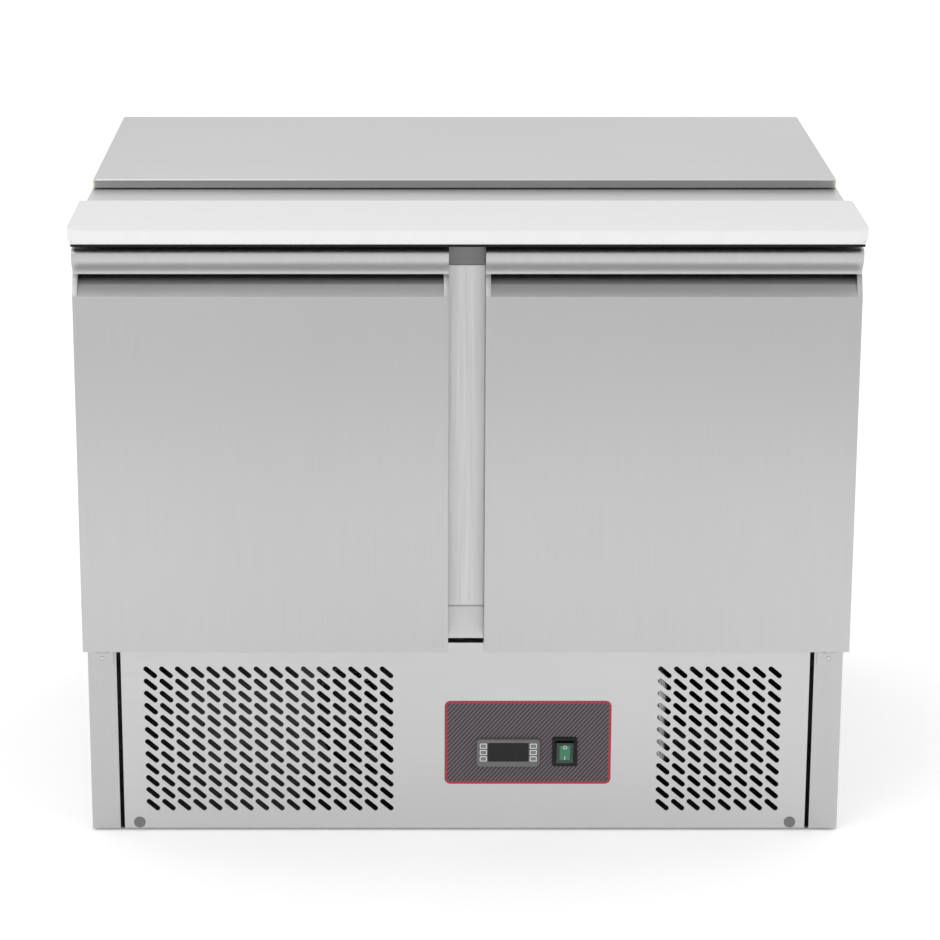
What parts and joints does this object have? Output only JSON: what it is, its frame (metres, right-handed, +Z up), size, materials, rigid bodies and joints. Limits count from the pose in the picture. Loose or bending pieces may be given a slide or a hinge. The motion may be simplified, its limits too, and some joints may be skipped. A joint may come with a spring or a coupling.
{
  "type": "sandwich prep table",
  "caption": "Refrigerated stainless prep table: hinged lid over food pans, white cutting board, doors with finger lips, and a slotted base panel with thermostat and rocker switch.",
  "frame": {"origin": "on the floor, under the centre of the object's box", "axes": "+Z up, doors and controls face -Y, +X to the right of a person facing the doors"},
  "size_m": [0.908, 0.7, 0.762],
  "materials": {
    "stainless": "fine horizontal brushing",
    "foam": "foamed in place",
    "gasket_rubber": "soft profile",
    "coated_wire": "plastic coated wire",
    "galvanised": "galvanised sheet and fins",
    "white_plastic": "moulded",
    "black_paint": "satin black",
    "copper": "drawn copper",
    "black_plastic": "moulded",
    "grey_cap": "moulded screw cap",
    "grey_plastic": "moulded bezel",
    "label_film": "printed stripes with a red border",
    "dark_window": "smoked",
    "white_board": "polyethylene",
    "green_rocker": "translucent green",
    "key_plastic": "moulded keys with pale outlines"
  },
  "bodies": {
    "cabinet": {"left_side_panel": "stainless", "right_side_panel": "stainless", "rear_panel": "stainless", "base_tray": "stainless", "floor_panel": "stainless", "top_rail": "stainless", "mullion": "stainless", "wall_foam": "foam", "inner_liner": "stainless", "worktop": "stainless", "board_pins": "stainless", "pan_bars": "stainless", "food_pans": "stainless", "front_panel": "stainless", "panel_screws": "grey_cap", "control_label": "label_film", "thermostat_case": "grey_plastic", "thermostat_window": "dark_window", "switch_bezel": "black_plastic", "top_hinge_brackets": "stainless", "bottom_hinge_brackets": "stainless", "hinge_screws": "stainless", "left_shelf": "coated_wire", "right_shelf": "coated_wire", "shelf_runners": "coated_wire", "evaporator_coil": "galvanised", "evaporator_cover": "white_plastic", "compressor": "black_paint", "condenser_coil": "black_paint", "condenser_shroud": "galvanised", "filter_drier": "copper", "refrigerant_pipes": "copper", "evaporation_tray": "galvanised", "cable_gland": "black_plastic", "levelling_feet": "black_plastic", "lid_hinge_bases": "stainless", "lid_hinge_pins": "stainless"},
    "lid": {"lid_skin": "stainless", "lid_foam": "foam", "lid_liner": "stainless", "lid_hinge_arms": "stainless"},
    "left_door": {"left_door_skin": "stainless", "left_door_foam": "foam", "left_door_liner": "stainless", "left_door_gasket": "gasket_rubber"},
    "right_door": {"right_door_skin": "stainless", "right_door_foam": "foam", "right_door_liner": "stainless", "right_door_gasket": "gasket_rubber"},
    "board": {"cutting_board": "white_board"},
    "rocker": {"switch_rocker": "green_rocker"},
    "condenser_rotor": {"condenser_fan": "black_plastic"},
    "evaporator_rotor": {"evaporator_fan": "black_plastic"},
    "left_key_top_body": {"left_key_top": "key_plastic"},
    "left_key_middle_body": {"left_key_middle": "key_plastic"},
    "left_key_bottom_body": {"left_key_bottom": "key_plastic"},
    "right_key_top_body": {"right_key_top": "key_plastic"},
    "right_key_middle_body": {"right_key_middle": "key_plastic"},
    "right_key_bottom_body": {"right_key_bottom": "key_plastic"}
  },
  "joints": [
    {"name": "left_door_hinge", "type": "hinge", "parent": "cabinet", "child": "left_door", "pos_m": [-0.438, -0.304, 0.25], "axis": [0, 0, -1], "range_deg": [0, 100]},
    {"name": "right_door_hinge", "type": "hinge", "parent": "cabinet", "child": "right_door", "pos_m": [0.438, -0.304, 0.25], "axis": [0, 0, 1], "range_deg": [0, 100]},
    {"name": "lid_hinge", "type": "hinge", "parent": "cabinet", "child": "lid", "pos_m": [0, 0.345, 0.756], "axis": [-1, 0, 0], "range_deg": [0, 95]},
    {"name": "board_lift", "type": "slide", "parent": "cabinet", "child": "board", "axis": [0, 0, 1], "range_m": [0, 0.03]},
    {"name": "switch_tilt", "type": "hinge", "parent": "cabinet", "child": "rocker", "pos_m": [0.12, -0.2743, 0.1025], "axis": [-1, 0, 0], "range_deg": [0, 12]},
    {"name": "condenser_fan_spin", "type": "hinge", "parent": "cabinet", "child": "condenser_rotor", "pos_m": [-0.10528, -0.2, 0.128], "axis": [0, 1, 0], "continuous": true},
    {"name": "evaporator_fan_spin", "type": "hinge", "parent": "cabinet", "child": "evaporator_rotor", "pos_m": [0, 0.26, 0.517], "axis": [0, 1, 0], "continuous": true},
    {"name": "left_key_top_press", "type": "slide", "parent": "cabinet", "child": "left_key_top_body", "axis": [0, 1, 0], "range_m": [0, 0.0006], "stiffness_N_per_m": 1000, "springref_m": -0.0004},
    {"name": "left_key_middle_press", "type": "slide", "parent": "cabinet", "child": "left_key_middle_body", "axis": [0, 1, 0], "range_m": [0, 0.0006], "stiffness_N_per_m": 1000, "springref_m": -0.0004},
    {"name": "left_key_bottom_press", "type": "slide", "parent": "cabinet", "child": "left_key_bottom_body", "axis": [0, 1, 0], "range_m": [0, 0.0006], "stiffness_N_per_m": 1000, "springref_m": -0.0004},
    {"name": "right_key_top_press", "type": "slide", "parent": "cabinet", "child": "right_key_top_body", "axis": [0, 1, 0], "range_m": [0, 0.0006], "stiffness_N_per_m": 1000, "springref_m": -0.0004},
    {"name": "right_key_middle_press", "type": "slide", "parent": "cabinet", "child": "right_key_middle_body", "axis": [0, 1, 0], "range_m": [0, 0.0006], "stiffness_N_per_m": 1000, "springref_m": -0.0004},
    {"name": "right_key_bottom_press", "type": "slide", "parent": "cabinet", "child": "right_key_bottom_body", "axis": [0, 1, 0], "range_m": [0, 0.0006], "stiffness_N_per_m": 1000, "springref_m": -0.0004}
  ]
}
